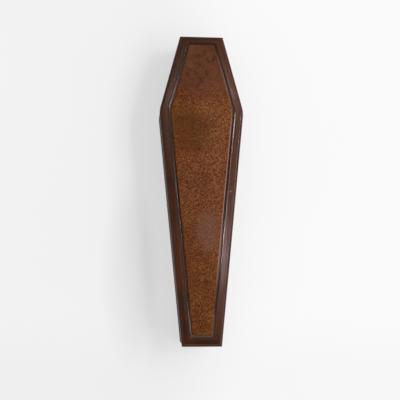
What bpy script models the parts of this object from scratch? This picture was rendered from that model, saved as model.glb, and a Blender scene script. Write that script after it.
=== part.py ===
"""Plastic coffin: a six-sided tub and a lift-off lid, moulded in glossy phenolic plastic.

The coffin lies on its base. Lengths are in metres and +Z is up. The head end is at +Y, and the
origin is on the underside, at the middle of the coffin's length and width.
"""

from math import cos, radians, sin, tan

import bmesh
import bpy
from mathutils import Vector

# Plan of the coffin, over the lid's rim
LENGTH = 1.920
HEAD_WIDTH = 0.267
SHOULDER_WIDTH = 0.526
FOOT_WIDTH = 0.247
SHOULDER_FROM_HEAD = 0.469
END_CORNER_RADIUS = 0.006
SHOULDER_RADIUS = 0.180

# Base: the tub that the lid closes
BASE_HEIGHT = 0.275
BASE_WALL = 0.006
BASE_FLOOR = 0.008
BASE_DRAFT = radians(2.75)
BASE_RIM_THICKNESS = 0.009
BASE_RIM_OVERHANG = 0.0075
BASE_FOOT_ROUND = 0.008
BASE_FLOOR_ROUND = 0.007

# Lid: a rim, a raised border, and a sunk field that the panel lies in
LID_WALL = 0.006
LID_RIM_SETBACK = 0.0015
LID_RIM_HEIGHT = 0.012
LID_RIM_WIDTH = 0.0115
LID_STEP_SLOPE = 0.0012
BORDER_HEIGHT = 0.022
BORDER_CROWN = 0.0006
FIELD_HEIGHT = 0.0185
LID_RIB_DEPTH = 0.010
LID_RIB_THICKNESS = 0.004
LID_CLEARANCE = 0.0015

# Width of the border on each side, from the lid's outer edge to the middle of the channel
BORDER_HEAD = 0.047
BORDER_UPPER = 0.062
BORDER_LOWER = 0.064
BORDER_FOOT = 0.0635
INNER_CORNER_RADIUS = 0.008

# Bead along the border's inner edge, and the channel between it and the panel
BEAD_WIDTH = 0.0095
BEAD_HEIGHT = 0.0024
BEAD_FLAT = 0.004
CHANNEL_WIDTH = 0.010

# Mottled panel
PANEL_THICKNESS = 0.0075
PANEL_EDGE = 0.0065
PANEL_LIP = 0.0015

# Two touching mouldings keep this much air between them
CONTACT_GAP = 0.0003

# Edge roundings: how far each one runs back from its edge
SOFT_RIM = 0.0035
SOFT_SMALL = 0.0009
SOFT_BEAD = 0.0016

END_CORNER_STEPS = 3
SHOULDER_STEPS = 6
BEVEL_STEPS = 3


def plan_corners():
    """The six corners of the lid's outline, counter-clockwise from above, from the right head corner."""
    half = LENGTH / 2
    shoulder = half - SHOULDER_FROM_HEAD
    right = [
        Vector((HEAD_WIDTH / 2, half)),
        Vector((SHOULDER_WIDTH / 2, shoulder)),
        Vector((FOOT_WIDTH / 2, -half)),
    ]
    left = [Vector((-corner.x, corner.y)) for corner in right]
    return [right[0], left[0], left[1], left[2], right[2], right[1]]


def inset_corners(head, upper, lower, foot):
    """Move each side of the plan inwards by its own distance and find the new corners."""
    corners = plan_corners()
    insets = [head, upper, lower, foot, lower, upper]
    lines = []
    for start, end, inset in zip(corners, corners[1:] + corners[:1], insets):
        along = (end - start).normalized()
        inwards = Vector((-along.y, along.x))
        lines.append((start + inwards * inset, along))
    moved = []
    for (before, u), (after, v) in zip(lines[-1:] + lines[:-1], lines):
        reach = (after - before).cross(v) / u.cross(v)
        moved.append(before + u * reach)
    return moved


def rounded(corners, radii, steps):
    """Replace each corner by an arc of its own radius, tangent to both sides."""
    points = []
    count = len(corners)
    for i, corner in enumerate(corners):
        into = (corner - corners[i - 1]).normalized()
        out = (corners[(i + 1) % count] - corner).normalized()
        turn = into.angle(out)
        inwards = Vector((-into.y, into.x))
        centre = corner - into * (radii[i] * tan(turn / 2)) + inwards * radii[i]
        for step in range(steps[i] + 1):
            angle = turn * step / steps[i]
            points.append(centre + (into * sin(angle) - inwards * cos(angle)) * radii[i])
    return points


def ring(head, upper, lower, foot, height, end_radius, soft):
    """One level of a moulding: a rounded six-sided loop at a height, and its edge rounding."""
    shoulder_radius = SHOULDER_RADIUS - (upper + lower) / 2
    radii = [end_radius, end_radius, shoulder_radius] * 2
    steps = [END_CORNER_STEPS, END_CORNER_STEPS, SHOULDER_STEPS] * 2
    plan = rounded(inset_corners(head, upper, lower, foot), radii, steps)
    return [(point.x, point.y, height) for point in plan], soft


def rim_ring(inset, height, soft=0.0):
    """A ring at one distance inside the lid's outer edge, the same on every side."""
    return ring(inset, inset, inset, inset, height, END_CORNER_RADIUS, soft)


def field_ring(offset, height, soft=0.0):
    """A ring at one distance inside the middle of the channel, which each side places for itself."""
    return ring(
        BORDER_HEAD + offset,
        BORDER_UPPER + offset,
        BORDER_LOWER + offset,
        BORDER_FOOT + offset,
        height,
        INNER_CORNER_RADIUS,
        soft,
    )


def plastic(name, colour, roughness):
    """A glossy moulded plastic of one colour."""
    material = bpy.data.materials.new(name)
    material.use_nodes = True
    shader = material.node_tree.nodes["Principled BSDF"]
    shader.inputs["Base Color"].default_value = (*colour, 1.0)
    shader.inputs["Roughness"].default_value = roughness
    shader.inputs["Metallic"].default_value = 0.0
    material.diffuse_color = (*colour, 1.0)
    return material


def moulding(name, rings, material, collection):
    """Loft a closed solid through the rings, cap its two ends, and round the rings' edges."""
    soft_most = max(soft for _, soft in rings)
    mesh = bpy.data.meshes.new(name)
    form = bmesh.new()
    weight = form.edges.layers.float.new("bevel_weight_edge")
    loops = [[form.verts.new(point) for point in points] for points, _ in rings]
    for lower, upper in zip(loops, loops[1:]):
        for i in range(len(lower)):
            form.faces.new((lower[i - 1], lower[i], upper[i], upper[i - 1]))
    form.faces.new(loops[0])
    form.faces.new(loops[-1])
    for loop, (_, soft) in zip(loops, rings):
        for i in range(len(loop)):
            form.edges.get((loop[i - 1], loop[i]))[weight] = soft / soft_most
    bmesh.ops.recalc_face_normals(form, faces=form.faces)
    form.to_mesh(mesh)
    form.free()
    mesh.materials.append(material)
    mesh.shade_smooth()
    piece = bpy.data.objects.new(name, mesh)
    collection.objects.link(piece)
    bevel = piece.modifiers.new("rounded edges", "BEVEL")
    bevel.limit_method = "WEIGHT"
    bevel.width = soft_most
    bevel.segments = BEVEL_STEPS
    bevel.use_clamp_overlap = False
    return piece


def base_rings():
    """The base's skin, from under the floor, up outside, over the rim and down inside."""
    taper = tan(BASE_DRAFT)
    outer_top = LID_RIM_SETBACK + BASE_RIM_OVERHANG
    inner_top = outer_top + BASE_WALL
    rim_foot = BASE_HEIGHT - BASE_RIM_THICKNESS
    return [
        rim_ring(outer_top + taper * BASE_HEIGHT, 0.0, BASE_FOOT_ROUND),
        rim_ring(outer_top + taper * BASE_RIM_THICKNESS, rim_foot, SOFT_RIM),
        rim_ring(LID_RIM_SETBACK, rim_foot, SOFT_SMALL),
        rim_ring(LID_RIM_SETBACK, BASE_HEIGHT, SOFT_SMALL),
        rim_ring(inner_top, BASE_HEIGHT, SOFT_SMALL),
        rim_ring(inner_top + taper * (BASE_HEIGHT - BASE_FLOOR), BASE_FLOOR, BASE_FLOOR_ROUND),
    ]


def lid_rings():
    """The lid's skin, from under the field, out and down to the rib, and over the top."""
    seat = BASE_HEIGHT + CONTACT_GAP
    rim_top = BASE_HEIGHT + LID_RIM_HEIGHT
    border = BASE_HEIGHT + BORDER_HEIGHT
    field = BASE_HEIGHT + FIELD_HEIGHT
    rib_out = LID_RIM_SETBACK + BASE_RIM_OVERHANG + BASE_WALL + LID_CLEARANCE
    rib_in = rib_out + LID_RIB_THICKNESS
    rib_foot = BASE_HEIGHT - LID_RIB_DEPTH
    bead_in = -CHANNEL_WIDTH / 2
    bead_out = bead_in - BEAD_WIDTH
    bead_slope = (BEAD_WIDTH - BEAD_FLAT) / 2
    return [
        field_ring(bead_in - LID_WALL, field - LID_WALL, SOFT_SMALL),
        field_ring(bead_in - LID_WALL - SOFT_RIM, border - LID_WALL, SOFT_SMALL),
        rim_ring(rib_in, border - LID_WALL, SOFT_RIM),
        rim_ring(rib_in, rib_foot, SOFT_SMALL),
        rim_ring(rib_out, rib_foot, SOFT_SMALL),
        rim_ring(rib_out, seat, SOFT_SMALL),
        rim_ring(0.0, seat, SOFT_SMALL),
        rim_ring(0.0, rim_top, SOFT_RIM),
        rim_ring(LID_RIM_WIDTH, rim_top, SOFT_SMALL),
        rim_ring(LID_RIM_WIDTH + LID_STEP_SLOPE, border - BORDER_CROWN, SOFT_RIM),
        field_ring(bead_out * 2, border),
        field_ring(bead_out, border - BORDER_CROWN, SOFT_SMALL),
        field_ring(bead_out + bead_slope, border + BEAD_HEIGHT, SOFT_BEAD),
        field_ring(bead_in - bead_slope, border + BEAD_HEIGHT, SOFT_BEAD),
        field_ring(bead_in, field, SOFT_BEAD),
    ]


def panel_rings():
    """The mottled panel's skin: flat below, a low upright lip, a rounded edge and a flat face."""
    seat = BASE_HEIGHT + FIELD_HEIGHT + CONTACT_GAP
    face = seat + PANEL_THICKNESS
    edge = CHANNEL_WIDTH / 2
    return [
        field_ring(edge, seat, SOFT_SMALL),
        field_ring(edge, seat + PANEL_LIP, SOFT_SMALL),
        field_ring(edge + PANEL_EDGE / 3, face - PANEL_EDGE / 4, SOFT_BEAD),
        field_ring(edge + PANEL_EDGE, face, SOFT_BEAD),
    ]


def main():
    for leftover in list(bpy.data.objects):
        bpy.data.objects.remove(leftover)
    coffin = bpy.data.collections.new("plastic_coffin")
    bpy.context.scene.collection.children.link(coffin)
    dark = plastic("mahogany_brown_plastic", (0.058, 0.021, 0.012), 0.22)
    burr = plastic("burr_mottled_plastic", (0.138, 0.046, 0.018), 0.30)
    moulding("coffin_base", base_rings(), dark, coffin)
    moulding("lid", lid_rings(), dark, coffin)
    moulding("lid_panel", panel_rings(), burr, coffin)


main()
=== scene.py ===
# %% [markdown]
# # A moulded plastic coffin
#
# The real object is three pressings of dark phenolic plastic: a six-sided tub, a lid with a raised
# border, and a mottled panel laid into the lid. This lesson loads the measured model as a fixed
# frame, then makes a fine visual piece for each pressing, with its own plastic.
#
# All lengths are in metres. The head end is at +Y, and +Z is up.

from math import cos, hypot, pi, radians, tan

import bmesh
import bpy
from mathutils import Matrix, Vector


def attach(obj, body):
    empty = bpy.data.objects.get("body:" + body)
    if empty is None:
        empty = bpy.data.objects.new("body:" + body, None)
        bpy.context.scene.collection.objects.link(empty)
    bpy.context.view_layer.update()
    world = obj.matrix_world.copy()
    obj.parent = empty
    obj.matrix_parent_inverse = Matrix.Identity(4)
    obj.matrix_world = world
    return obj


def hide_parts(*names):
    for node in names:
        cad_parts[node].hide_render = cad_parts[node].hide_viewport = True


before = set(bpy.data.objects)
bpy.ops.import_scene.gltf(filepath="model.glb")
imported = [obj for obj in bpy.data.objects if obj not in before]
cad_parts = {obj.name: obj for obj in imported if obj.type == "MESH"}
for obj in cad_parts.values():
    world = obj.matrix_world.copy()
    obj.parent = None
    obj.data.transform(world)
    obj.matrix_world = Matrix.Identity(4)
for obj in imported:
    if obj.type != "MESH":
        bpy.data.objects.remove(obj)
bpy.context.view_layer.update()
print("nodes of the frame:", sorted(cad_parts))

# %% [markdown]
# ## The camera
#
# The camera hangs above the lying coffin and looks down on the lid. It stands a little to the left
# of the coffin and a little towards the foot, so the left rim and the foot rim show their sides.
# A camera's rotation can be built from three arrows: where its right, its top and its back point.
# That is steadier than typing three angles, because the coffin's long axis stays upright.

# %% Hang the camera
CAMERA_LEFT = radians(7.365)
CAMERA_FOOTWARDS = radians(5.284)
CAMERA_ROLL = radians(-0.107)
CAMERA_DISTANCE = 8.0
CAMERA_TARGET = Vector((-0.0093, -0.0596, 0.275))
CAMERA_LENS = 116.64
CAMERA_SENSOR = 36.0


def facing(back):
    """The rotation of a camera or lamp whose back points this way and whose right is level."""
    right = Vector((0.0, 1.0, 0.0)).cross(back).normalized()
    top = back.cross(right)
    return Matrix((right, top, back)).transposed().to_4x4()


camera = bpy.data.objects.new("camera", bpy.data.cameras.new("camera"))
bpy.context.scene.collection.objects.link(camera)
back = Vector((-tan(CAMERA_LEFT), -tan(CAMERA_FOOTWARDS), 1.0)).normalized()
turn = facing(back) @ Matrix.Rotation(CAMERA_ROLL, 4, "Z")
camera.matrix_world = Matrix.Translation(CAMERA_TARGET + back * CAMERA_DISTANCE) @ turn
camera.data.lens = CAMERA_LENS
camera.data.sensor_width = CAMERA_SENSOR
bpy.context.scene.camera = camera
print("camera at", [round(value, 3) for value in camera.matrix_world.translation])

# %% [markdown]
# ## A bench for node trees
#
# Materials and Geometry Nodes are both node trees, and both use the same Math node. Wiring sums by
# hand hides what they mean. The small class below wraps one output socket, so that a sum written in
# Python adds its Math nodes. Every other node comes from one method of the bench.

# %% A wire that can be added and multiplied
class Wire:
    """A node's output. A sum written on it adds a Math node to its tree."""

    def __init__(self, bench, socket):
        self.bench = bench
        self.socket = socket

    def __add__(self, other):
        return self.bench.maths("ADD", self, other)

    def __sub__(self, other):
        return self.bench.maths("SUBTRACT", self, other)

    def __rsub__(self, other):
        return self.bench.maths("SUBTRACT", other, self)

    def __mul__(self, other):
        return self.bench.maths("MULTIPLY", self, other)

    def __truediv__(self, other):
        return self.bench.maths("DIVIDE", self, other)

    def __rtruediv__(self, other):
        return self.bench.maths("DIVIDE", other, self)

    def __neg__(self):
        return self.bench.maths("MULTIPLY", self, -1.0)

    __radd__ = __add__
    __rmul__ = __mul__


print("a wire works with + - * and /, and with numbers on either side")

# %% The bench
class Bench:
    """A node tree to build in."""

    def __init__(self, tree):
        self.tree = tree

    def node(self, kind, settings=None, sockets=None, out=0):
        """Add a node: its settings first, then what goes into its sockets. Return one output."""
        node = self.tree.nodes.new(kind)
        for name, value in (settings or {}).items():
            setattr(node, name, value)
        for name, value in (sockets or {}).items():
            self.plug(value, node.inputs[name])
        return Wire(self, node.outputs[out]) if node.outputs else None

    def plug(self, value, socket):
        """Link a wire to a socket, or set a plain value on it."""
        if isinstance(value, Wire):
            self.tree.links.new(value.socket, socket)
        else:
            socket.default_value = value

    def maths(self, operation, *values, clamp=False):
        """Add a Math node."""
        settings = {"operation": operation, "use_clamp": clamp}
        return self.node("ShaderNodeMath", settings, dict(enumerate(values)))

    def ramp(self, value, start, end):
        """0 up to start, 1 from end on, an eased slope between. start may be above end."""
        sockets = {"Value": value, "From Min": start, "From Max": end}
        settings = {"interpolation_type": "SMOOTHSTEP"}
        return self.node("ShaderNodeMapRange", settings, sockets)

    def vector_maths(self, operation, *values):
        """Add a Vector Math node."""
        return self.node("ShaderNodeVectorMath", {"operation": operation}, dict(enumerate(values)))

    def scaled(self, vector, factor):
        """Make a vector longer or shorter by a factor."""
        sockets = {0: vector, "Scale": factor}
        return self.node("ShaderNodeVectorMath", {"operation": "SCALE"}, sockets)

    def join_axes(self, x, y, z):
        """Make a vector from its X, Y and Z."""
        return self.node("ShaderNodeCombineXYZ", None, {0: x, 1: y, 2: z})

    def axes(self, vector):
        """Split a vector into its X, Y and Z."""
        split = self.node("ShaderNodeSeparateXYZ", None, {0: vector})
        return [Wire(self, output) for output in split.socket.node.outputs]

    def blend(self, factor, first, second):
        """Blend two colours."""
        sockets = {0: factor, 6: first, 7: second}
        return self.node("ShaderNodeMix", {"data_type": "RGBA"}, sockets, out=2)

    def patch(self, place, centre, reach):
        """A soft oval patch in plan: 1 at its centre, 0 at its reach along X and Y."""
        x, y = self.axes(place)[:2]
        across = (x - centre[0]) / reach[0]
        along = (y - centre[1]) / reach[1]
        return self.ramp(across * across + along * along, 1.0, 0.0)

    def noise(self, place, scale, detail=2.0, roughness=0.5, distortion=0.0, out=0):
        """Add a Noise Texture: cloudy values from 0 to 1, finer with a larger scale."""
        sockets = {"Vector": place, "Scale": scale, "Detail": detail, "Roughness": roughness}
        sockets["Distortion"] = distortion
        return self.node("ShaderNodeTexNoise", None, sockets, out)


print("the bench is ready")

# %% [markdown]
# ## Sizes of the coffin
#
# These are the sizes of the measured model. The plan is left-right symmetric and has six sides: a
# head, two upper sides, two lower sides and a foot. Everything on the coffin runs round that plan
# at some distance inside it.

# %% Plan and section sizes
PLAN = {
    "Length": 1.920,
    "Head width": 0.267,
    "Shoulder width": 0.526,
    "Foot width": 0.247,
    "Shoulder from head": 0.469,
    "Shoulder radius": 0.180,
    "Border at head": 0.047,
    "Border at upper sides": 0.062,
    "Border at lower sides": 0.064,
    "Border at foot": 0.0635,
    "Outer corner radius": 0.006,
    "Inner corner radius": 0.008,
}
BASE_HEIGHT = 0.275
CONTACT_GAP = 0.0003
SMALL_ROUND = 0.0009
RIM_ROUND = 0.0035
BEAD_ROUND = 0.0016
print("plan:", PLAN["Length"], "long,", PLAN["Shoulder width"], "wide at the shoulders")

# %% [markdown]
# ## Sketching a section
#
# A pressing has the same section all the way round, so each piece starts as a flat sketch of its
# section. A sketch point has three numbers. The first is how far it lies inside an edge of the
# plan. The second says which edge: 0 is the lid's outer edge and 1 is the channel round the panel,
# whose distance from the outer edge differs from side to side. The third is the height.
#
# No edge of a pressing is sharp. Each corner of the sketch is therefore replaced by a short curve,
# with one more point just outside each end of it. Those two guard points keep the smooth shading of
# the curve from spilling over the flats beside it.

# %% Rounding a sketch
RIM = 0.0
CHANNEL = 1.0
ROUND_STEPS = 5
GUARD = 0.0002
LONGEST_STRAIGHT = 0.05


def apart(first, second):
    """The real distance between two sketch points, with a middling width for the border."""
    inwards = second[0] - first[0] + (second[1] - first[1]) * PLAN["Border at lower sides"]
    return hypot(inwards, second[2] - first[2])


def towards(start, end, distance):
    """The sketch point at a distance from start on the way to end."""
    return Vector(start).lerp(Vector(end), distance / apart(start, end))


def soften(corners, longest=LONGEST_STRAIGHT):
    """Round the corners of a sketch, and divide its long straights."""
    points = [Vector(corners[0][:3])]
    for before, corner, after in zip(corners, corners[1:], corners[2:]):
        reach = corner[3]
        corner = corner[:3]
        start = towards(corner, before[:3], reach)
        end = towards(corner, after[:3], reach)
        points.append(towards(corner, before[:3], reach + GUARD))
        for step in range(ROUND_STEPS + 1):
            share = step / ROUND_STEPS
            on_way_in = start.lerp(Vector(corner), share)
            on_way_out = Vector(corner).lerp(end, share)
            points.append(on_way_in.lerp(on_way_out, share))
        points.append(towards(corner, after[:3], reach + GUARD))
    points.append(Vector(corners[-1][:3]))
    divided = []
    for start, end in zip(points, points[1:]):
        parts = int(apart(start, end) / longest) + 1
        divided.extend(start.lerp(end, part / parts) for part in range(parts))
    return divided + [points[-1]]


print("a softened corner has", ROUND_STEPS + 3, "points")

# %% [markdown]
# ## The burr figure
#
# The panel copies a burr veneer: short dark worm tracks and dots between lighter islands, each
# about a centimetre across. The figure is used twice, for the panel's colour and for its shallow
# relief, so it is one function that works on either kind of tree. Cells with a warped position and
# a fine grain give the islands, and a ridged noise gives the tracks between them.

# %% Build the burr figure
ISLAND_SCALE = 88.0
GRAIN_SCALE = 112.0
TRACK_SCALE = 82.0
DOT_SCALE = 74.0
WARP_SCALE = 42.0
WARP_REACH = 0.009


def burr_figure(bench, place):
    """Return the light islands, dark tracks and dark dots of the burr, each from 0 to 1."""
    push = bench.noise(place, WARP_SCALE, 2.0, 0.6, out=1)
    push = bench.vector_maths("SUBTRACT", push, (0.5, 0.5, 0.5))
    warped = bench.vector_maths("ADD", place, bench.scaled(push, WARP_REACH))
    cell = bench.node("ShaderNodeTexVoronoi", None, {"Vector": warped, "Scale": ISLAND_SCALE})
    grain = bench.ramp(bench.noise(warped, GRAIN_SCALE, 3.0, 0.7), 0.40, 0.61)
    islands = bench.ramp(cell, 0.62, 0.12) * 0.38 + grain * 0.62
    ridge = bench.maths("ABSOLUTE", bench.noise(warped, TRACK_SCALE, 3.0, 0.6) - 0.5)
    tracks = bench.ramp(ridge, 0.055, 0.0)
    speck = bench.node("ShaderNodeTexVoronoi", None, {"Vector": warped, "Scale": DOT_SCALE})
    dots = bench.ramp(speck, 0.27, 0.12)
    return islands, tracks, dots


print("burr islands are about", round(1000 / ISLAND_SCALE), "mm across")

# %% [markdown]
# ## One tree for every pressing
#
# The three pressings differ in section and share one rule: carry the section round the plan. That
# rule suits Geometry Nodes, because the sizes stay named inputs that can be changed later.
#
# The tree lays a flat grid. One direction of the grid counts the points of the sketch and the other
# counts steps along the right half of the plan, from the middle of the head to the middle of the
# foot. This half has seven stretches: half the head, a corner, the upper side, the shoulder, the
# lower side, a corner, and half the foot. Each stretch has a progress from 0 to 1.
#
# At any step, a point lies at a radius from a centre, in the direction the side faces. At a corner
# the centre stays and the direction turns. Along a side the direction stays and the centre slides.
# So centre, radius and direction are three short lists with one value for each end of a stretch,
# and the sum below walks through such a list. The left half is the mirrored right half.

# %% Number lists that the tree walks through
def walk(values, progress):
    """Go through the values one by one as each stretch's progress runs from 0 to 1."""
    total = values[0]
    for here, there, share in zip(values, values[1:], progress):
        total = total + (there - here) * share
    return total


STRETCHES = (
    "Steps on half the head",
    "Steps on a corner",
    "Steps on an upper side",
    "Steps on a shoulder",
    "Steps on a lower side",
    "Steps on a corner",
    "Steps on half the head",
)
print("half the plan has", len(STRETCHES), "stretches")

# %% [markdown]
# The function below is the rule itself. It takes the tree's inputs and a sketch point, and gives
# the place of that point at one step of the plan.

# %% Place a sketch point on the plan
def on_plan(bench, sizes, section, progress):
    """Where a sketch point lies at one step along the right half of the plan."""
    half = sizes["Length"] / 2
    upper_run = sizes["Shoulder from head"]
    lower_run = sizes["Length"] - upper_run
    upper_slope = (sizes["Shoulder width"] - sizes["Head width"]) / 2 / upper_run
    lower_slope = (sizes["Shoulder width"] - sizes["Foot width"]) / 2 / lower_run
    upper_angle = bench.maths("ARCTANGENT", upper_slope)
    lower_angle = bench.maths("ARCTANGENT", lower_slope)
    upper_stretch = 1.0 / bench.maths("COSINE", upper_angle)
    lower_stretch = 1.0 / bench.maths("COSINE", lower_angle)

    offset, follows, height = bench.axes(section)
    head = offset + follows * sizes["Border at head"]
    upper = offset + follows * sizes["Border at upper sides"]
    lower = offset + follows * sizes["Border at lower sides"]
    foot = offset + follows * sizes["Border at foot"]
    sharper = sizes["Outer corner radius"]
    corner = sharper + follows * (sizes["Inner corner radius"] - sharper)
    shoulder = sizes["Shoulder radius"] - (upper + lower) / 2

    head_y = half - head - corner
    head_x = sizes["Head width"] / 2 + (head + corner) * upper_slope
    head_x = head_x - (upper + corner) * upper_stretch
    foot_y = foot + corner - half
    foot_x = sizes["Foot width"] / 2 + (foot + corner) * lower_slope
    foot_x = foot_x - (lower + corner) * lower_stretch
    wider = (sizes["Head width"] - sizes["Foot width"]) / 2
    side_y = wider + half * (upper_slope - lower_slope)
    side_y = side_y - (upper + shoulder) * upper_stretch + (lower + shoulder) * lower_stretch
    side_y = side_y / (upper_slope + lower_slope)
    side_x = sizes["Foot width"] / 2 + (side_y + half) * lower_slope
    side_x = side_x - (lower + shoulder) * lower_stretch

    middle = offset * 0.0
    straight_up = middle + pi / 2
    centre_x = [middle, head_x, head_x, side_x, side_x, foot_x, foot_x, middle]
    centre_y = [head_y, head_y, head_y, side_y, side_y, foot_y, foot_y, foot_y]
    radius = [corner, corner, corner, shoulder, shoulder, corner, corner, corner]
    bearing = [straight_up, straight_up, upper_angle, upper_angle]
    bearing += [-lower_angle, -lower_angle, -straight_up, -straight_up]
    reach = walk(radius, progress)
    angle = walk(bearing, progress)
    x = walk(centre_x, progress) + reach * bench.maths("COSINE", angle)
    y = walk(centre_y, progress) + reach * bench.maths("SINE", angle)
    return x, y, height


print("a point's place takes the", len(PLAN), "sizes of the plan")

# %% [markdown]
# The grid's points and faces are only numbered, so each works out its row and its step from its
# number. A panel's face is filled in the same grid: after the last sketch point come rows whose
# points slide towards the middle line. Points along the head and the foot slide along their own
# line, so the faces between them have no width there, and they are taken out.

# %% Lay the right half
def row_and_step(bench, index, row_length):
    """Which row of a grid a point or a face stands in, and which place in that row."""
    row = bench.maths("FLOOR", (index + 0.5) / row_length)
    return row, index - row * row_length


def lay_half(bench, sketch, filled, sizes, steps):
    """Put the points of a grid in place along the right half of the plan."""
    starts = [0.0]
    for name in STRETCHES:
        starts.append(starts[-1] + steps[name])
    along = starts[-1] + 1
    count = bench.node("GeometryNodeAttributeDomainSize", None, {"Geometry": sketch})
    grid_sockets = {"Vertices X": count + filled, "Vertices Y": along}
    grid = bench.node("GeometryNodeMeshGrid", None, grid_sockets)
    row, step = row_and_step(bench, bench.node("GeometryNodeInputIndex"), along)
    progress = [
        bench.maths("DIVIDE", step - start, steps[name], clamp=True)
        for name, start in zip(STRETCHES, starts)
    ]
    point = bench.maths("MINIMUM", row, count - 1)
    inwards = bench.maths("DIVIDE", row - point, steps[STRETCHES[0]], clamp=True)
    section = bench.node(
        "GeometryNodeSampleIndex",
        {"data_type": "FLOAT_VECTOR"},
        {"Geometry": sketch, "Value": bench.node("GeometryNodeInputPosition"), "Index": point},
    )
    x, y, height = on_plan(bench, sizes, section, progress)
    spot = bench.join_axes(x * (1.0 - inwards), y, height)
    half = bench.node("GeometryNodeSetPosition", None, {"Geometry": grid, "Position": spot})
    return take_out_flat_faces(bench, half, count, starts)


def take_out_flat_faces(bench, half, count, starts):
    """Take out the filled face's grid faces along the head and the foot."""
    index = bench.node("GeometryNodeInputIndex")
    row, step = row_and_step(bench, index, starts[-1])
    in_face = bench.maths("GREATER_THAN", row, count - 1.5)
    at_head = bench.maths("LESS_THAN", step, starts[1] - 0.5)
    at_foot = bench.maths("GREATER_THAN", step, starts[-2] - 0.5)
    spare = in_face * bench.maths("MAXIMUM", at_head, at_foot)
    return bench.node(
        "GeometryNodeDeleteGeometry", {"domain": "FACE"}, {"Geometry": half, "Selection": spare}
    )


print("a row starts with", STRETCHES[0], "and ends with", STRETCHES[-1])

# %% [markdown]
# The left half is the right half mirrored. A mirrored half is inside out, so its faces are turned
# round, and the points on the middle line are merged.

# %% Add the left half
MERGE_DISTANCE = 0.00001


def add_left_half(bench, half):
    """Join the right half to its mirror image."""
    mirrored = bench.node(
        "GeometryNodeTransform", None, {"Geometry": half, "Scale": (-1.0, 1.0, 1.0)}
    )
    mirrored = bench.node("GeometryNodeFlipFaces", None, {"Mesh": mirrored})
    both = bench.node("GeometryNodeJoinGeometry", None, {0: half})
    bench.plug(mirrored, both.socket.node.inputs[0])
    return bench.node(
        "GeometryNodeMergeByDistance", None, {"Geometry": both, "Distance": MERGE_DISTANCE}
    )


print("points closer than", MERGE_DISTANCE * 1000, "mm are merged")

# %% [markdown]
# A real pressing sinks a little as it cools, and the burr is pressed into the panel's face. Both
# are small shifts of the finished surface against its normal, so the piece never grows past its
# sizes.

# %% Sink the surface
def take(bench, name, kind="NodeSocketFloat"):
    """Add a named input to the tree."""
    bench.tree.interface.new_socket(name=name, in_out="INPUT", socket_type=kind)
    return bench.node("NodeGroupInput", out=name)


def sink_surface(bench, whole):
    """Shift the surface inwards, for the hollows and for the burr's relief on what faces up."""
    hollow_depth = take(bench, "Hollow depth")
    hollow_size = take(bench, "Hollow size")
    relief = take(bench, "Burr relief")
    place = bench.node("GeometryNodeInputPosition")
    normal = bench.node("GeometryNodeInputNormal")
    hollows = bench.noise(place, 1.0 / hollow_size, 1.0) * hollow_depth
    faces_up = bench.ramp(bench.axes(normal)[2], 0.8, 0.99)
    islands, tracks, dots = burr_figure(bench, place)
    dips = (0.5 - islands * 0.5 + tracks * 0.3 + dots * 0.2) * faces_up * relief
    shift = bench.scaled(normal, -(hollows + dips))
    return bench.node("GeometryNodeSetPosition", None, {"Geometry": whole, "Offset": shift})


print("the relief uses the same figure as the colour")

# %% Build the tree
def pressing_tree():
    """Carry a section sketch round the coffin's plan."""
    bench = Bench(bpy.data.node_groups.new("six-sided pressing", "GeometryNodeTree"))
    bench.tree.interface.new_socket(
        name="Pressing", in_out="OUTPUT", socket_type="NodeSocketGeometry"
    )
    sketch = take(bench, "Section sketch", "NodeSocketGeometry")
    sizes = {name: take(bench, name) for name in PLAN}
    steps = {name: take(bench, name, "NodeSocketInt") for name in dict.fromkeys(STRETCHES)}
    filled = take(bench, "Rows that fill the face", "NodeSocketInt")
    half = lay_half(bench, sketch, filled, sizes, steps)
    sunk = sink_surface(bench, add_left_half(bench, half))
    smooth = bench.node("GeometryNodeSetShadeSmooth", None, {"Geometry": sunk})
    real = bench.node("GeometryNodeRealizeInstances", None, {"Geometry": smooth})
    plastic = take(bench, "Plastic", "NodeSocketMaterial")
    dressed = bench.node("GeometryNodeSetMaterial", None, {"Geometry": real, "Material": plastic})
    bench.node("NodeGroupOutput", None, {"Pressing": dressed})
    return bench.tree


pressing = pressing_tree()
print("the tree has", len(pressing.nodes), "nodes")

# %% [markdown]
# ## From sketch to piece
#
# The sketch becomes a string of points in a mesh, and the tree turns it into the pressing. The
# result is copied to a plain mesh and the modifier is taken off, so that nothing is left to change
# later. The flats that nobody sees, such as the underside, are left open by the tree, and one large
# face closes each.

# %% Press a piece
def press(name, sketch, plastic, fineness, extras):
    """Make a closed piece from its section sketch."""
    mesh = bpy.data.meshes.new(name)
    mesh.from_pydata(sketch, [], [])
    piece = bpy.data.objects.new(name, mesh)
    modifier = piece.modifiers.new("pressing", "NODES")
    modifier.node_group = pressing
    values = {**PLAN, **fineness, **extras, "Plastic": plastic}
    for item in pressing.interface.items_tree:
        if item.name in values:
            modifier[item.identifier] = values[item.name]
    bpy.context.scene.collection.objects.link(piece)
    made = piece.evaluated_get(bpy.context.evaluated_depsgraph_get())
    piece_mesh = bpy.data.meshes.new_from_object(made)
    piece.modifiers.remove(modifier)
    piece.data = piece_mesh
    bpy.data.meshes.remove(mesh)
    close_flats(piece_mesh)
    piece_mesh.name = name
    triangles = sum(len(face.vertices) - 2 for face in piece_mesh.polygons)
    print(name, "has", triangles, "triangles")
    return piece


def close_flats(mesh):
    """Close the open flats with one face each, and turn every face outwards."""
    form = bmesh.new()
    form.from_mesh(mesh)
    rims = [edge for edge in form.edges if edge.is_boundary]
    bmesh.ops.holes_fill(form, edges=rims, sides=0)
    bmesh.ops.recalc_face_normals(form, faces=form.faces)
    left_open = [edge for edge in form.edges if not edge.is_manifold]
    print("edges left open:", len(left_open))
    for face in form.faces:
        face.smooth = True
    form.to_mesh(mesh)
    form.free()


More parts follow.
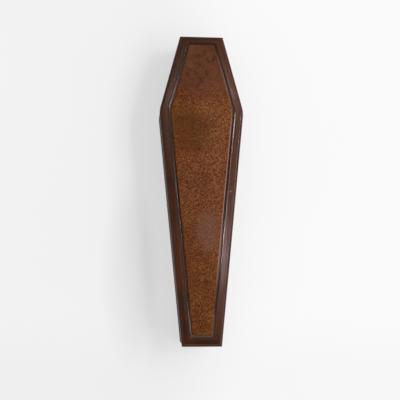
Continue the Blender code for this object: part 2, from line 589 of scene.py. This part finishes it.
# %% [markdown]
# The tub and the lid need few steps, because their sides are straight. The panel gets many, because
# the relief of the burr is pressed into its face.

# %% How fine the grids are
COARSE = {
    "Steps on half the head": 8,
    "Steps on a corner": 8,
    "Steps on an upper side": 16,
    "Steps on a shoulder": 16,
    "Steps on a lower side": 44,
}
FINE = {
    "Steps on half the head": 50,
    "Steps on a corner": 6,
    "Steps on an upper side": 110,
    "Steps on a shoulder": 12,
    "Steps on a lower side": 350,
}
print("the panel's lower side has", FINE["Steps on a lower side"], "steps")

# %% [markdown]
# ## Plastic of the tub and the lid
#
# The dark plastic is a mahogany brown filled with wood flour. The lid is glossy, because its mould
# was polished, its rim and the border's outer edge on the right are a little worn by hands, and the
# tub below is satin. Both show red-brown flow streaks, which run upright on the tub. The border is
# a little redder towards the right, a painted sheen for the light on that side, and redder on a
# patch at the lower left.
#
# The channel round the panel gets painted shade in a dark brown, with a painted pale reflection at
# the foot and on the upper right. The left bead is made rough and gets the same painted shade,
# except near the shoulder and on one short stretch, where it still shines. Two small pale spots sit
# on the border: the one on the right is a painted highlight, and the one on the left is a pale
# mark.
# All of these are placed by the point's own position, so nothing is painted by hand. A soft patch
# is written as its centre and its reach, each along X and Y.

# %% Start a material
def start_material(name):
    """An empty material: its bench, and its shader with no colour yet."""
    material = bpy.data.materials.new(name)
    material.use_nodes = True
    material.node_tree.nodes.clear()
    bench = Bench(material.node_tree)
    shader = bench.node("ShaderNodeBsdfPrincipled")
    bench.node("ShaderNodeOutputMaterial", None, {"Surface": shader})
    place = bench.node("ShaderNodeTexCoord", out="Object")
    return material, bench, shader.socket.node, place


print("materials before the first plastic:", len(bpy.data.materials))

# %% Colours and places of the dark plastic
DEEP_BROWN = (0.036, 0.0110, 0.0038, 1.0)
BODY_BROWN = (0.054, 0.0145, 0.0044, 1.0)
RED_BROWN = (0.074, 0.0165, 0.0046, 1.0)
WARM_BROWN = (0.084, 0.0200, 0.0050, 1.0)
# Painted shade: dark brown for the channel round the panel and for the left bead.
PAINTED_SHADE_BROWN = (0.020, 0.0060, 0.0020, 1.0)
# Painted reflection: a pale line in the channel at the foot and on the upper right.
PAINTED_SHEEN_PALE = (0.110, 0.0720, 0.0500, 1.0)
PALE_GLINT_AND_SPOT = (0.220, 0.1500, 0.1200, 1.0)
SATIN_BELOW = 0.2660
SATIN_FADE = 0.008
RIM_TOP = 0.2870
CHANNEL_FLOOR = 0.2915
CHANNEL_TOP = 0.2960
BEAD_FOOT = 0.2968
WORN_EDGE = 0.0145
WARM_PATCH = ((-0.15, -0.42), (0.14, 0.30))
# A painted highlight at the end of the right bead's bright line, and a pale spot on the left.
RIGHT_PAINTED_GLINT = ((0.178, -0.006), (0.009, 0.008))
LEFT_PALE_SPOT = ((-0.219, 0.609), (0.006, 0.005))
SHINY_STRETCH = ((-0.166, 0.020), (0.020, 0.035))
print("the plastic is satin below a height of", SATIN_BELOW)

# %% Where painted shade and light, dulling and wear lie
def channel_shade_and_sheen(bench, place):
    """The channel's painted shade, and the part of it that gets a painted pale reflection."""
    x, y, z = bench.axes(place)
    # Painted shade in the channel, where shade falls between the border and the panel.
    channel = bench.ramp(z, CHANNEL_TOP, CHANNEL_TOP - 0.0012)
    channel = channel * bench.ramp(z, CHANNEL_FLOOR, CHANNEL_FLOOR + 0.001)
    # Painted pale reflection in the channel at the foot and on the upper right.
    at_foot = bench.ramp(y, -0.72, -0.80)
    upper_right = bench.ramp(x, 0.02, 0.06) * bench.ramp(y, 0.44, 0.56)
    upper_right = upper_right * bench.ramp(y, 0.88, 0.80)
    return channel, channel * (at_foot + upper_right * 0.8)


def shade_and_dull_left_bead(bench, place):
    """The left bead's painted shade and roughness, along the lower side and by the head."""
    x, y, z = bench.axes(place)
    # Painted shade and extra roughness on the left bead, except near the shoulder and one stretch.
    bead_shade_and_dulling = bench.ramp(z, BEAD_FOOT, BEAD_FOOT + 0.0008) * bench.ramp(x, 0.0, -0.04)
    low_part = bench.ramp(y, 0.42, 0.36) * bench.ramp(y, -0.88, -0.87)
    head_part = bench.ramp(y, 0.66, 0.74) * bench.ramp(y, 0.885, 0.875)
    bead_shade_and_dulling = bead_shade_and_dulling * (low_part + head_part)
    return bead_shade_and_dulling * (1.0 - bench.patch(place, *SHINY_STRETCH))


def worn_by_hands(bench, place):
    """All up to the rim's top, and the border's outer edge on the lower right."""
    x, y, z = bench.axes(place)
    up_to_rim = bench.ramp(z, RIM_TOP + 0.0008, RIM_TOP + 0.0004)
    side_run = PLAN["Length"] - PLAN["Shoulder from head"]
    side_slope = (PLAN["Shoulder width"] - PLAN["Foot width"]) / 2 / side_run
    inside_edge = PLAN["Foot width"] / 2 + (y + PLAN["Length"] / 2) * side_slope - x
    outer_edge = bench.ramp(inside_edge, WORN_EDGE + 0.0015, WORN_EDGE)
    return bench.maths("MAXIMUM", up_to_rim, outer_edge)


print("the outer edge is worn for", WORN_EDGE * 1000, "mm")

# %% Dark plastic
LID_STRETCH = (1.0, 0.3, 1.0)
TUB_STRETCH = (1.0, 1.0, 0.22)
STREAK_SCALE = 38.0
CLOUD_SCALE = 9.0
FLOW_SCALE = 15.0
POLISH_SCALE = 14.0


def stretched(bench, place, stretch):
    """The position, scaled so that a pattern on it is drawn out along one axis."""
    return bench.node("ShaderNodeMapping", None, {"Vector": place, "Scale": stretch})


def flow_colour(bench, place, satin, flow):
    """The plastic's colour, with its clouds and streaks, and a redder right side as painted sheen.
    """
    x = bench.axes(place)[0]
    streaks = bench.noise(stretched(bench, place, LID_STRETCH), STREAK_SCALE, 4.0, 0.6, 1.4)
    clouds = bench.noise(place, CLOUD_SCALE, 3.0, 0.55, 0.6)
    colour = bench.blend(bench.ramp(clouds, 0.35, 0.65), DEEP_BROWN, BODY_BROWN)
    colour = bench.blend(bench.ramp(streaks, 0.52, 0.76) * 0.7, colour, RED_BROWN)
    # Painted sheen: the lid is made redder towards the right, for the light falling from that side.
    colour = bench.blend(bench.ramp(x, 0.0, 0.2) * (1.0 - satin) * 0.6, colour, RED_BROWN)
    colour = bench.blend(satin * bench.ramp(flow, 0.50, 0.66) * 0.75, colour, RED_BROWN)
    colour = bench.blend(satin * bench.ramp(flow, 0.50, 0.36) * 0.75, colour, DEEP_BROWN)
    return bench.blend(bench.patch(place, *WARM_PATCH) * 0.55, colour, WARM_BROWN)


def dark_plastic():
    """The glossy plastic of the lid, which is satin on the tub."""
    material, bench, shader, place = start_material("dark_pressed_plastic")
    height = bench.axes(place)[2]
    satin = bench.ramp(height, SATIN_BELOW, SATIN_BELOW - SATIN_FADE)
    flow = bench.noise(stretched(bench, place, TUB_STRETCH), FLOW_SCALE, 5.0, 0.6, 1.2)
    channel_shade, channel_sheen = channel_shade_and_sheen(bench, place)
    # A painted highlight on the right, and a pale spot on the left border.
    glint_and_spot = bench.patch(place, *RIGHT_PAINTED_GLINT) + bench.patch(place, *LEFT_PALE_SPOT) * 0.6
    glint_and_spot = glint_and_spot * bench.ramp(height, CHANNEL_FLOOR - 0.001, CHANNEL_FLOOR)
    bead_shade_and_dulling = shade_and_dull_left_bead(bench, place)
    colour = flow_colour(bench, place, satin, flow)
    for share, finish in (
        # painted shade in the channel
        (channel_shade * 0.8, PAINTED_SHADE_BROWN),
        # painted reflection in the channel
        (channel_sheen * 0.8, PAINTED_SHEEN_PALE),
        # painted highlight on the right, pale spot on the left
        (glint_and_spot * 0.6, PALE_GLINT_AND_SPOT),
        # painted shade on the left bead
        (bead_shade_and_dulling * 0.75, PAINTED_SHADE_BROWN),
    ):
        colour = bench.blend(share, colour, finish)
    bench.plug(colour, shader.inputs["Base Color"])
    haze = bench.noise(place, POLISH_SCALE, 3.0, 0.6)
    polish = 0.06 + haze * 0.09 + worn_by_hands(bench, place) * 0.20
    polish = polish + satin * (flow * 0.36 + 0.30)
    bench.plug(polish + bead_shade_and_dulling * 0.50, shader.inputs["Roughness"])
    return material


dark = dark_plastic()
print("made", dark.name)

# %% [markdown]
# ## Plastic of the panel
#
# The panel's plastic has the burr figure: light amber islands on a red-brown ground, with dark
# tracks and dots. The figure is strong over the lower half, in small clusters, and fades towards
# the head, where dark and rusty smears take its place. There is a smooth spot above the middle,
# livelier figure beside it, a painted pale sheen below it, painted shade on the left, and a painted
# highlight along the right edge, so each of these is a soft patch over the figure.
#
# The islands' colour drifts between red, gold and straw on a much larger scale than the figure
# itself. That drift is what keeps a pressed pattern from looking like wallpaper. The straw in the
# middle is partly a painted sheen: it stands for the glints on the islands.

# %% Colours of the panel
SHADE = (0.047, 0.0128, 0.0018, 1.0)
AMBER = (0.073, 0.0212, 0.0030, 1.0)
RED = (0.300, 0.0850, 0.0250, 1.0)
GOLD = (0.340, 0.1220, 0.0310, 1.0)
# Partly the islands' own pale tone and partly a painted sheen of glints on them.
STRAW_AND_SHEEN = (0.330, 0.1450, 0.0800, 1.0)
NIGHT = (0.014, 0.0032, 0.0006, 1.0)
MURK = (0.094, 0.0410, 0.0300, 1.0)
RUST = (0.170, 0.0560, 0.0240, 1.0)
# A pale sheen, painted as colour on the panel below its middle.
BLOOM_SHEEN_PALE = (0.150, 0.0780, 0.0560, 1.0)
# A pale highlight, painted as colour along the panel's right edge.
EDGE_HIGHLIGHT_PALE = (0.330, 0.1900, 0.1350, 1.0)
print("the ground runs from", SHADE[:3], "to", AMBER[:3])

# %% Places on the panel
PANEL_FACE_HEIGHT = 0.3013
SMOOTH_SPOT = ((-0.07, 0.37), (0.17, 0.19))
DULL_HEAD = ((0.01, 0.78), (0.24, 0.28))
LIVELY_BAND = ((0.02, 0.52), (0.09, 0.05))
LIVELY_SIDE = ((0.145, 0.43), (0.05, 0.06))
# Painted reflection: the pale sheen below the panel's middle.
PAINTED_SHEEN_BLOOM = ((0.040, -0.25), (0.10, 0.17))
GOLDEN_BAND = ((0.0, 0.42), (0.30, 0.22))
RED_SPOT = ((-0.08, 0.22), (0.10, 0.12))
# Where the islands get the straw tone that is partly a painted sheen.
STRAW_SHEEN_MIDDLE = ((0.06, 0.10), (0.25, 0.80))
# Painted shade: the panel's left side, darker away from the light on the right.
SHADED_LEFT_SHOULDER = ((-0.14, 0.50), (0.13, 0.17))
PATCH_SCALE = 7.0
CLUSTER_SCALE = 24.0
TINT_SCALE = 6.5
SMEAR_SCALE = 19.0
GLOSS_SCALE = 11.0
print("clusters of the figure are about", round(1000 / CLUSTER_SCALE), "mm across")

# %% Layers of the panel's colour
def figure_strength(bench, place, patches, smooth_spot):
    """How strongly the figure shows: fully on the lower half, faintly by the head."""
    x, y = bench.axes(place)[:2]
    lively = bench.patch(place, *LIVELY_BAND) + bench.patch(place, *LIVELY_SIDE)
    strength = bench.ramp(y + (patches - 0.5) * 0.3 - x * 0.3, 0.72, 0.50)
    strength = (strength * 0.70 + 0.30) * (1.0 - smooth_spot * 0.7) + lively * 0.30
    clusters = bench.ramp(bench.noise(place, CLUSTER_SCALE, 2.0, 0.5), 0.35, 0.65)
    return strength * (0.78 + clusters * 0.36)


def island_colour(bench, place):
    """The islands' colour: red, gold and straw, the straw in the middle partly a painted sheen."""
    y = bench.axes(place)[1]
    tint = bench.ramp(bench.noise(place, TINT_SCALE, 3.0, 0.6), 0.40, 0.60)
    golden = bench.patch(place, *GOLDEN_BAND) + bench.ramp(y, -0.50, -0.66)
    tint = tint * 0.55 + golden * 0.45 - bench.patch(place, *RED_SPOT) * 0.6
    light = bench.blend(bench.ramp(tint, 0.0, 1.0), RED, GOLD)
    # Partly painted sheen: the islands in the middle turn paler and straw-coloured.
    return bench.blend(bench.patch(place, *STRAW_SHEEN_MIDDLE) * 0.30, light, STRAW_AND_SHEEN)


def lay_patches(bench, place, colour, smooth_spot):
    """Lay the soft patches, some of them painted light, and the smears by the head over the figure.
    """
    x, y, z = bench.axes(place)
    dull_head = bench.patch(place, *DULL_HEAD)
    smears = bench.noise(place, SMEAR_SCALE, 4.0, 0.65, 0.8)
    # Painted reflection: a pale sheen below the middle of the panel.
    sheen_bloom = bench.patch(place, *PAINTED_SHEEN_BLOOM)
    # Painted shade on the left of the panel, away from the light on the right.
    left_shade = bench.ramp(x, 0.09, 0.0) * bench.ramp(y, 0.20, 0.10) * (1.0 - sheen_bloom)
    left_shade = left_shade + bench.patch(place, *SHADED_LEFT_SHOULDER) * 0.8
    # Painted highlight along the panel's right edge, which faces the light.
    edge_highlight = bench.ramp(z, PANEL_FACE_HEIGHT - 0.0006, PANEL_FACE_HEIGHT - 0.0011)
    edge_highlight = edge_highlight * bench.ramp(x, 0.02, 0.08) * bench.ramp(y, 0.48, 0.42)
    edge_highlight = edge_highlight * bench.ramp(y, -0.64, -0.42)
    for share, finish in (
        (smooth_spot * 0.30, AMBER),
        (dull_head * 0.40, MURK),
        (dull_head * bench.ramp(smears, 0.50, 0.66) * 0.40, NIGHT),
        (dull_head * bench.ramp(smears, 0.48, 0.34) * 0.45, RUST),
        (sheen_bloom * 0.48, BLOOM_SHEEN_PALE),
        (bench.ramp(y, -0.35, -0.50) * 0.12, NIGHT),
        (left_shade * 0.17, NIGHT),
        (edge_highlight, EDGE_HIGHLIGHT_PALE),
    ):
        colour = bench.blend(share, colour, finish)
    return colour


print("the smooth spot reaches", SMOOTH_SPOT[1][1], "along the panel")

# %% Burr plastic
PANEL_SPECULAR = 0.10
BUMP_STRENGTH = 0.2
BUMP_DEPTH = 0.0008


def burr_plastic():
    """The mottled plastic of the panel."""
    material, bench, shader, place = start_material("burr_pressed_plastic")
    islands, tracks, dots = burr_figure(bench, place)
    patches = bench.noise(place, PATCH_SCALE, 3.0, 0.6, 0.5)
    smooth_spot = bench.patch(place, *SMOOTH_SPOT)
    strength = figure_strength(bench, place, patches, smooth_spot)
    ground = bench.blend(bench.ramp(patches, 0.35, 0.65), SHADE, AMBER)
    light = island_colour(bench, place)
    colour = bench.blend(islands * (strength * 0.90 + 0.1) + 0.10, ground, light)
    colour = bench.blend(tracks * (strength * 0.42 + 0.05), colour, NIGHT)
    colour = bench.blend(dots * (strength * 0.9 + 0.05), colour, NIGHT)
    colour = lay_patches(bench, place, colour, smooth_spot)
    bench.plug(colour, shader.inputs["Base Color"])
    haze = bench.noise(place, GLOSS_SCALE, 3.0, 0.6)
    bench.plug(0.13 + haze * 0.08 + islands * 0.09, shader.inputs["Roughness"])
    shader.inputs["Specular IOR Level"].default_value = PANEL_SPECULAR
    bump = {"Strength": BUMP_STRENGTH, "Distance": BUMP_DEPTH, "Height": islands - tracks}
    bench.plug(bench.node("ShaderNodeBump", None, bump), shader.inputs["Normal"])
    return material


burr = burr_plastic()
print("made", burr.name)

# %% [markdown]
# ## The base
#
# The base is a tub whose sides lean outwards, so that it comes out of its mould. A flat rim round
# its mouth carries the lid.

# %% Press the base
BASE_WALL = 0.006
BASE_FLOOR = 0.008
BASE_LEAN = tan(radians(2.75))
BASE_RIM_THICKNESS = 0.009
BASE_RIM_OVERHANG = 0.0075
BASE_FOOT_ROUND = 0.008
BASE_FLOOR_ROUND = 0.007
LID_RIM_SETBACK = 0.0015
FLAT_START = 0.02
BASE_HOLLOWS = {"Hollow depth": 0.0004, "Hollow size": 0.16}


def base_sketch():
    """The base's section, from under the floor, up outside, over the rim and down inside."""
    outside = LID_RIM_SETBACK + BASE_RIM_OVERHANG
    inside = outside + BASE_WALL
    rim_foot = BASE_HEIGHT - BASE_RIM_THICKNESS
    foot = outside + BASE_LEAN * BASE_HEIGHT
    floor = inside + BASE_LEAN * (BASE_HEIGHT - BASE_FLOOR)
    return soften([
        (foot + FLAT_START, RIM, 0.0),
        (foot, RIM, 0.0, BASE_FOOT_ROUND),
        (outside + BASE_LEAN * BASE_RIM_THICKNESS, RIM, rim_foot, RIM_ROUND),
        (LID_RIM_SETBACK, RIM, rim_foot, SMALL_ROUND),
        (LID_RIM_SETBACK, RIM, BASE_HEIGHT, SMALL_ROUND),
        (inside, RIM, BASE_HEIGHT, SMALL_ROUND),
        (floor, RIM, BASE_FLOOR, BASE_FLOOR_ROUND),
        (floor + FLAT_START, RIM, BASE_FLOOR),
    ])


base = press("base_shell", base_sketch(), dark, COARSE, BASE_HOLLOWS)

# %% [markdown]
# ## The lid
#
# The lid is a shallow tray turned upside down. Its section has, from the outside in: a low rim, a
# step up to the broad border, a bead with a low crest, and a channel down to the field where the
# panel lies. A rib under the border keeps the lid in the mouth of the base. The two flat faces of
# the bead are what catch the long bright lines on the photo.

# %% Press the lid
LID_WALL = 0.006
LID_RIM_HEIGHT = 0.012
LID_RIM_WIDTH = 0.0115
LID_STEP_SLOPE = 0.0012
LID_EDGE_ROUND = 0.002
BORDER_HEIGHT = 0.022
BORDER_CROWN = 0.0006
FIELD_HEIGHT = 0.0185
RIB_DEPTH = 0.010
RIB_THICKNESS = 0.004
RIB_CLEARANCE = 0.0015
BEAD_WIDTH = 0.0095
BEAD_HEIGHT = 0.0024
BEAD_SHOULDER = 0.0019
BEAD_SIDE = 0.0016
BEAD_CREST_ROUND = 0.0005
CHANNEL_WIDTH = 0.010
LID_STRAIGHT = 0.012
LID_HOLLOWS = {"Hollow depth": 0.0002, "Hollow size": 0.12}


def lid_sketch():
    """The lid's section, from under the field, out and down to the rib, and over the top."""
    seat = BASE_HEIGHT + CONTACT_GAP
    rim_top = BASE_HEIGHT + LID_RIM_HEIGHT
    border = BASE_HEIGHT + BORDER_HEIGHT
    field = BASE_HEIGHT + FIELD_HEIGHT
    rib_out = LID_RIM_SETBACK + BASE_RIM_OVERHANG + BASE_WALL + RIB_CLEARANCE
    rib_in = rib_out + RIB_THICKNESS
    bead_in = -CHANNEL_WIDTH / 2
    bead_out = bead_in - BEAD_WIDTH
    return soften([
        (bead_in - LID_WALL + FLAT_START, CHANNEL, field - LID_WALL),
        (bead_in - LID_WALL, CHANNEL, field - LID_WALL, SMALL_ROUND),
        (bead_in - LID_WALL - RIM_ROUND, CHANNEL, border - LID_WALL, SMALL_ROUND),
        (rib_in, RIM, border - LID_WALL, RIM_ROUND),
        (rib_in, RIM, BASE_HEIGHT - RIB_DEPTH, SMALL_ROUND),
        (rib_out, RIM, BASE_HEIGHT - RIB_DEPTH, SMALL_ROUND),
        (rib_out, RIM, seat, SMALL_ROUND),
        (0.0, RIM, seat, SMALL_ROUND),
        (0.0, RIM, rim_top, LID_EDGE_ROUND),
        (LID_RIM_WIDTH, RIM, rim_top, SMALL_ROUND),
        (LID_RIM_WIDTH + LID_STEP_SLOPE, RIM, border - BORDER_CROWN, RIM_ROUND),
        (bead_out * 2, CHANNEL, border, RIM_ROUND),
        (bead_out, CHANNEL, border, SMALL_ROUND),
        (bead_out + BEAD_SIDE, CHANNEL, border + BEAD_SHOULDER, SMALL_ROUND),
        ((bead_out + bead_in) / 2, CHANNEL, border + BEAD_HEIGHT, BEAD_CREST_ROUND),
        (bead_in - BEAD_SIDE, CHANNEL, border + BEAD_SHOULDER, SMALL_ROUND),
        (bead_in, CHANNEL, field, BEAD_ROUND),
        (bead_in + FLAT_START, CHANNEL, field),
    ], LID_STRAIGHT)


lid = press("lid_shell", lid_sketch(), dark, COARSE, LID_HOLLOWS)

# %% [markdown]
# ## The panel
#
# The panel is a thin slab with a sloping edge. Its face is the widest surface of the coffin, so it
# gets a fine grid, and the burr figure is pressed a quarter of a millimetre into it.

# %% Press the panel
PANEL_THICKNESS = 0.0075
PANEL_EDGE = 0.0065
PANEL_LIP = 0.0015
LIP_ROUND = 0.0004
PANEL_FINISH = {
    "Rows that fill the face": FINE["Steps on half the head"],
    "Hollow depth": 0.0003,
    "Hollow size": 0.14,
    "Burr relief": 0.00025,
}


def panel_sketch():
    """The panel's section: flat below, a low upright lip, a sloping edge and a flat face."""
    seat = BASE_HEIGHT + FIELD_HEIGHT + CONTACT_GAP
    face = seat + PANEL_THICKNESS
    edge = CHANNEL_WIDTH / 2
    return soften([
        (edge + FLAT_START, CHANNEL, seat),
        (edge, CHANNEL, seat, LIP_ROUND),
        (edge, CHANNEL, seat + PANEL_LIP, LIP_ROUND),
        (edge + PANEL_EDGE / 3, CHANNEL, face - PANEL_EDGE / 4, SMALL_ROUND),
        (edge + PANEL_EDGE, CHANNEL, face, BEAD_ROUND),
        (edge + PANEL_EDGE * 1.5, CHANNEL, face),
    ])


panel = press("mottled_panel", panel_sketch(), burr, FINE, PANEL_FINISH)

# %% [markdown]
# ## Each piece takes the place of its solid
#
# Nothing on the coffin moves, so every piece rides on the one body.

# %% Put the pieces in the frame
for piece, node, finish in (
    (base, "coffin_base", "mahogany_brown_plastic"),
    (lid, "lid", "mahogany_brown_plastic"),
    (panel, "lid_panel", "burr_mottled_plastic"),
):
    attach(piece, "root")
    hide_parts(node)
    print(piece.name, "stands for", node)

# %% [markdown]
# ## The room
#
# The coffin lies on a plain pale floor. A pale floor in this soft light would still look grey, so
# it glows a little. The glow fades on the left of the coffin, which deepens the short soft shadow
# there, and towards the foot.

# %% Floor
FLOOR_SIZE = 60.0
FLOOR_GREY = (0.33, 0.33, 0.33, 1.0)
FLOOR_PALER = (0.35, 0.35, 0.35, 1.0)
FLOOR_CLOUD_SCALE = 0.8
FLOOR_ROUGHNESS = 0.9
FLOOR_GLOW = 0.557
GLOW_ON_RIGHT = 0.11
GLOW_LOST = 0.05
GLOW_SHADED = 0.12
SHADED_STRIP = ((-0.42, -0.50), (0.20, 0.65))


def lay_floor():
    """A wide flat sheet, which isn't part of the coffin."""
    mesh = bpy.data.meshes.new("floor")
    far = FLOOR_SIZE / 2
    corners = [(-far, -far, 0.0), (far, -far, 0.0), (far, far, 0.0), (-far, far, 0.0)]
    mesh.from_pydata(corners, [], [(0, 1, 2, 3)])
    floor = bpy.data.objects.new("floor", mesh)
    bpy.context.scene.collection.objects.link(floor)
    material, bench, shader, place = start_material("pale_floor")
    clouds = bench.noise(place, FLOOR_CLOUD_SCALE)
    colour = bench.blend(clouds, FLOOR_GREY, FLOOR_PALER)
    bench.plug(colour, shader.inputs["Base Color"])
    x, y = bench.axes(place)[:2]
    level = 1.0 + bench.ramp(x, -0.3, 0.3) * GLOW_ON_RIGHT
    level = level - bench.ramp(y, -0.7, -1.2) * GLOW_LOST
    level = level - bench.patch(place, *SHADED_STRIP) * GLOW_SHADED
    bench.plug(bench.join_axes(level, level, level), shader.inputs["Emission Color"])
    shader.inputs["Emission Strength"].default_value = FLOOR_GLOW
    shader.inputs["Specular IOR Level"].default_value = 0.0
    shader.inputs["Roughness"].default_value = FLOOR_ROUGHNESS
    mesh.materials.append(material)
    return floor


floor = lay_floor()
print("floor at height", floor.location.z)

# %% [markdown]
# ## The lights
#
# A soft wall of light on the right throws a short soft shadow to the left, and the sky lights
# everything else evenly.
#
# The dark plastic is glossy, so its look depends on what it mirrors. It doesn't mirror the soft
# wall. It mirrors a sky that is kept dim behind the camera, and pale cards far overhead. A card
# fills a small window of directions, so it shows on one stretch of the lid only: wide faint cards
# give the sheen on the border, and small strong lamps give the bright lines along the bead. Most
# cards are tinted slightly warm, a few slightly cool, and the rest are neutral.

# %% Cards and lamps
NEUTRAL = (1.0, 1.0, 1.0)
WARM = (1.0, 0.78, 0.70)
COOL = (1.0, 0.84, 0.93)
CARD_DISTANCE = 100.0


def hang_card(name, left, right, low, high, radiance, tint=WARM):
    """An evenly bright card overhead that fills a window: X left to right, Y low to high."""
    x = (left + right) / 2
    y = (low + high) / 2
    upwards = (1.0 - x * x - y * y) ** 0.5
    width = (right - left) * CARD_DISTANCE / upwards
    height = (high - low) * CARD_DISTANCE
    back = Vector((x, y, upwards)).normalized()
    lamp = bpy.data.lights.new(name, "AREA")
    lamp.shape = "RECTANGLE"
    lamp.size = width
    lamp.size_y = height
    lamp.energy = radiance * pi * width * height
    lamp.color = tint
    light = bpy.data.objects.new(name, lamp)
    light.matrix_world = Matrix.Translation(back * CARD_DISTANCE) @ facing(back)
    bpy.context.scene.collection.objects.link(light)
    return light


wall = hang_card("soft wall", 0.48, 0.77, -0.45, 0.60, 3.4, NEUTRAL)
wall.visible_glossy = False
hang_card("upper lamp", 0.438, 0.540, 0.117, 0.134, 80.0, NEUTRAL)
hang_card("shoulder lamp", 0.436, 0.540, 0.134, 0.160, 25.0, NEUTRAL)
hang_card("side strip", 0.440, 0.500, 0.050, 0.117, 2.5)
hang_card("lower lamp", 0.436, 0.540, 0.024, 0.037, 120.0, COOL)
hang_card("left strip", 0.372, 0.402, 0.092, 0.106, 5.0, NEUTRAL)
hang_card("streak lamp", 0.372, 0.402, 0.076, 0.092, 50.0, NEUTRAL)
hang_card("long card", 0.145, 0.280, 0.066, 0.176, 0.78)
hang_card("foot card", 0.130, 0.250, -0.030, 0.028, 0.40)
hang_card("left card", 0.030, 0.110, 0.122, 0.153, 0.70)
hang_card("left foot card", 0.030, 0.112, 0.018, 0.066, 0.10)
hang_card("head card left", 0.000, 0.070, 0.182, 0.200, 3.0)
hang_card("head card", 0.070, 0.125, 0.169, 0.190, 2.8)
hang_card("head card right", 0.135, 0.185, 0.178, 0.190, 8.5)
hang_card("far card right", 0.185, 0.250, 0.187, 0.201, 4.0)
hang_card("far card", 0.060, 0.280, 0.206, 0.300, 0.20)
hang_card("bright pane", 0.140, 0.235, 0.043, 0.060, 2.4, COOL)
hang_card("pane core", 0.140, 0.168, 0.046, 0.060, 10.0, COOL)
hang_card("lower pane", 0.140, 0.210, 0.028, 0.036, 17.0)

# %% Sky
SKY_TILT = 0.45
SKY_LOW = 0.62
SKY_RISE = 0.90
DIM_PATCH = Vector((0.125, 0.09, 0.988)).normalized()
DIM_PATCH_RIM = cos(radians(38.0))
DIM_PATCH_HEART = cos(radians(20.0))
DIM_DEPTH = 0.95


def light_sky():
    """Soft light from all round, strongest from above, and dim behind the camera."""
    sky = bpy.data.worlds.new("soft room")
    sky.use_nodes = True
    sky.node_tree.nodes.clear()
    bench = Bench(sky.node_tree)
    direction = bench.node("ShaderNodeTexCoord", out="Generated")
    rightwards, _, upwards = bench.axes(direction)
    nearness = bench.node(
        "ShaderNodeVectorMath", {"operation": "DOT_PRODUCT"}, {0: direction, 1: DIM_PATCH}, out=1
    )
    dim = bench.ramp(nearness, DIM_PATCH_RIM, DIM_PATCH_HEART)
    strength = (SKY_LOW + upwards * upwards * SKY_RISE) * (1.0 - dim * DIM_DEPTH)
    strength = strength * (1.0 + rightwards * SKY_TILT)
    glow = bench.node("ShaderNodeBackground", None, {"Strength": strength})
    bench.node("ShaderNodeOutputWorld", None, {"Surface": glow})
    bpy.context.scene.world = sky


light_sky()
bpy.context.scene.view_settings.view_transform = "Standard"
print("the sky is", bpy.context.scene.world.name)
